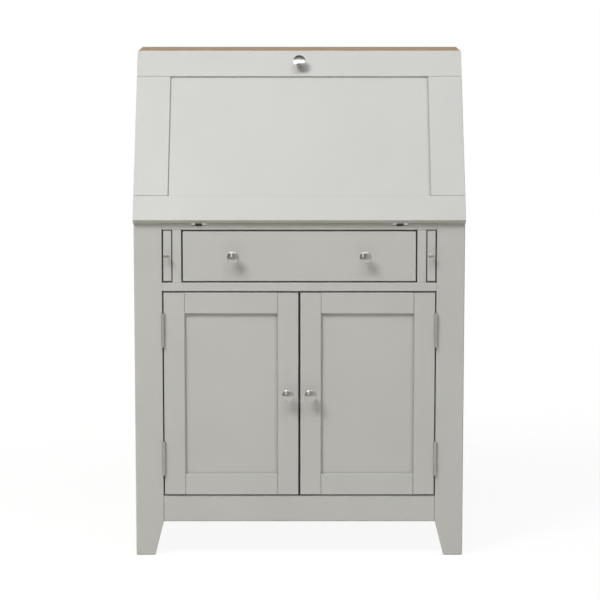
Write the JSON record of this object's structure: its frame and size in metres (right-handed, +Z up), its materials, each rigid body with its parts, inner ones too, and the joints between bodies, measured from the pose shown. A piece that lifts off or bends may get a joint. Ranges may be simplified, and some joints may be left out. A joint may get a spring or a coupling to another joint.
{
  "type": "secretary desk",
  "caption": "Painted secretary desk with a sloping drop-front flap over a writing bed, a drawer between pull-out flap supports, and a framed two-door cupboard on tapered feet.",
  "frame": {"origin": "on the floor, below the middle of the overall box", "axes": "+X towards the viewer's right when facing the front, -Y out of the front, +Z up"},
  "size_m": [0.722, 0.4, 1.1],
  "materials": {
    "paint": "satin warm light grey paint on wood",
    "oak": "oiled oak",
    "bare_wood": "bare pale wood, lightly sealed",
    "knob_metal": "polished nickel plate",
    "steel": "brushed steel",
    "plastic": "matt light grey plastic"
  },
  "bodies": {
    "case": {"left_front_leg": "paint", "right_front_leg": "paint", "rear_legs": "paint", "left_cheek": "paint", "right_cheek": "paint", "side_panels": "paint", "side_rails": "paint", "apron_rail": "paint", "mid_rail": "paint", "desk_bed": "paint", "oak_top": "oak", "lower_back_panel": "bare_wood", "upper_back_panel": "bare_wood", "cupboard_floor": "paint", "cupboard_shelf": "paint", "shelf_pins": "steel", "drawer_dividers": "paint", "drawer_runners": "bare_wood", "loper_guides": "bare_wood", "gallery_shelf": "oak", "gallery_dividers": "oak", "magnetic_catches": "plastic", "flap_hinge_bed_leaves": "steel", "door_hinge_leg_leaves": "steel", "hinge_pins": "steel", "case_screws": "steel"},
    "flap": {"flap_bottom_rail": "paint", "flap_top_rail": "paint", "flap_stiles": "paint", "flap_panel": "paint", "flap_knob": "knob_metal", "flap_hinge_leaves": "steel", "flap_screws": "steel"},
    "drawer": {"drawer_front": "paint", "drawer_sides": "bare_wood", "drawer_back": "bare_wood", "drawer_bottom": "bare_wood", "drawer_knobs": "knob_metal"},
    "left_loper": {"left_loper": "paint", "left_loper_knob": "knob_metal"},
    "right_loper": {"right_loper": "paint", "right_loper_knob": "knob_metal"},
    "left_door": {"left_door_stiles": "paint", "left_door_rails": "paint", "left_door_panel": "paint", "left_door_knob": "knob_metal", "left_door_hinge_leaves": "steel", "left_door_screws": "steel", "left_door_strike_plate": "steel"},
    "right_door": {"right_door_stiles": "paint", "right_door_rails": "paint", "right_door_panel": "paint", "right_door_knob": "knob_metal", "right_door_hinge_leaves": "steel", "right_door_screws": "steel", "right_door_strike_plate": "steel"},
    "left_pen_drawer": {"left_pen_drawer_front": "oak", "left_pen_drawer_box": "bare_wood"},
    "right_pen_drawer": {"right_pen_drawer_front": "oak", "right_pen_drawer_box": "bare_wood"}
  },
  "joints": [
    {"name": "flap_hinge", "type": "hinge", "parent": "case", "child": "flap", "pos_m": [0, -0.1755, 0.7385], "axis": [1, 0, 0], "range_deg": [0, 124]},
    {"name": "drawer_slide", "type": "slide", "parent": "case", "child": "drawer", "axis": [0, -1, 0], "range_m": [0, 0.24]},
    {"name": "left_loper_slide", "type": "slide", "parent": "case", "child": "left_loper", "axis": [0, -1, 0], "range_m": [0, 0.23]},
    {"name": "right_loper_slide", "type": "slide", "parent": "case", "child": "right_loper", "axis": [0, -1, 0], "range_m": [0, 0.23]},
    {"name": "left_door_hinge", "type": "hinge", "parent": "case", "child": "left_door", "pos_m": [-0.2977, -0.1789, 0.3619], "axis": [0, 0, -1], "range_deg": [0, 170]},
    {"name": "right_door_hinge", "type": "hinge", "parent": "case", "child": "right_door", "pos_m": [0.2977, -0.1789, 0.3619], "axis": [0, 0, 1], "range_deg": [0, 170]},
    {"name": "left_pen_drawer_slide", "type": "slide", "parent": "case", "child": "left_pen_drawer", "axis": [0, -1, 0], "range_m": [0, 0.095]},
    {"name": "right_pen_drawer_slide", "type": "slide", "parent": "case", "child": "right_pen_drawer", "axis": [0, -1, 0], "range_m": [0, 0.095]}
  ]
}
